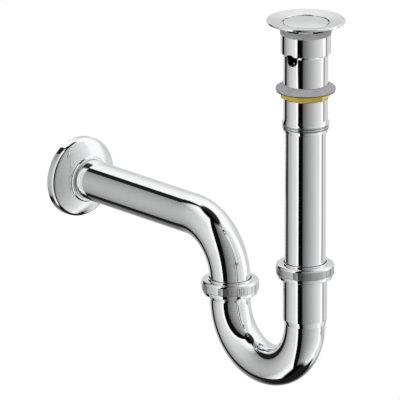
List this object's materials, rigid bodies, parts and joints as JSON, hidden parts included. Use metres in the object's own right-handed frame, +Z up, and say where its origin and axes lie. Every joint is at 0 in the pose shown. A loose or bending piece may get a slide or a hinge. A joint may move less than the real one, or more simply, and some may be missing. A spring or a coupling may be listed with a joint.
{
  "type": "basin trap",
  "caption": "Chromed P-trap for a wash basin: click waste with overflow holes, straight tailpipe, U-bend with knurled slip nuts, bent wall tube and round wall flange.",
  "frame": {"origin": "centre of the flat face under the waste flange's rim, which sits on the basin, on the waste's axis", "axes": "+Z up along the waste's axis, +Y from the waste to the wall, +X to the right of someone facing the wall"},
  "size_m": [0.064, 0.3161, 0.3054],
  "materials": {
    "chrome": "mirror-polished plating on brass",
    "grey_rubber": "matte moulded rubber",
    "black_rubber": "matte moulded rubber",
    "brass": "bare turned brass",
    "nylon": "natural moulded nylon",
    "spring_steel": "drawn wire"
  },
  "bodies": {
    "waste": {"waste_body": "chrome", "flange_gasket": "grey_rubber", "click_cap": "brass", "click_sleeve": "brass", "click_spring": "spring_steel", "basin_washer": "grey_rubber", "thrust_washer": "brass", "backnut": "brass", "tail_ferrule": "chrome", "tail_gasket": "black_rubber", "tailpipe": "chrome"},
    "plug": {"plug_cap": "chrome", "plug_seal": "black_rubber", "plug_stem": "brass", "click_rotor": "nylon"},
    "inlet_seal": {"inlet_seal": "black_rubber"},
    "trap": {"u_bend": "chrome", "inlet_ferrule": "chrome", "outlet_ferrule": "chrome"},
    "inlet_ring": {"inlet_ring": "nylon"},
    "inlet_nut": {"inlet_nut": "chrome"},
    "outlet_ring": {"outlet_ring": "nylon"},
    "outlet_nut": {"outlet_nut": "chrome"},
    "wall_tube": {"wall_tube": "chrome", "outlet_seal": "black_rubber"},
    "wall_flange": {"wall_flange": "chrome", "flange_grip": "black_rubber"}
  },
  "joints": [
    {"name": "plug_lift", "type": "slide", "parent": "waste", "child": "plug", "axis": [0, 0, 1], "range_m": [0, 0.009], "deforming": ["click_spring"]},
    {"name": "trap_height", "type": "slide", "parent": "waste", "child": "inlet_seal", "axis": [0, 0, 1], "range_m": [-0.012, 0.016]},
    {"name": "trap_swivel", "type": "hinge", "parent": "inlet_seal", "child": "trap", "pos_m": [0, 0, -0.2], "axis": [0, 0, 1], "continuous": true},
    {"name": "inlet_ring_lift", "type": "slide", "parent": "trap", "child": "inlet_ring", "axis": [0, 0, 1], "range_m": [0, 0.003]},
    {"name": "inlet_nut_turn", "type": "hinge", "parent": "inlet_ring", "child": "inlet_nut", "pos_m": [0, 0, -0.198], "axis": [0, 0, 1], "range_deg": [0, 720]},
    {"name": "wall_tube_swivel", "type": "hinge", "parent": "trap", "child": "wall_tube", "pos_m": [0, 0.088, -0.232], "axis": [0, 0, 1], "range_deg": [-135, 135]},
    {"name": "outlet_ring_lift", "type": "slide", "parent": "trap", "child": "outlet_ring", "axis": [0, 0, 1], "range_m": [0, 0.003]},
    {"name": "outlet_nut_turn", "type": "hinge", "parent": "outlet_ring", "child": "outlet_nut", "pos_m": [0, 0.088, -0.232], "axis": [0, 0, 1], "range_deg": [0, 720]},
    {"name": "wall_flange_slide", "type": "slide", "parent": "wall_tube", "child": "wall_flange", "axis": [0, 1, 0], "range_m": [-0.12, 0]}
  ],
  "couplings": [
    {"joint": "inlet_ring_lift", "follows": "inlet_nut_turn", "m_per_rad": 0.00023873},
    {"joint": "outlet_ring_lift", "follows": "outlet_nut_turn", "m_per_rad": 0.00023873}
  ]
}
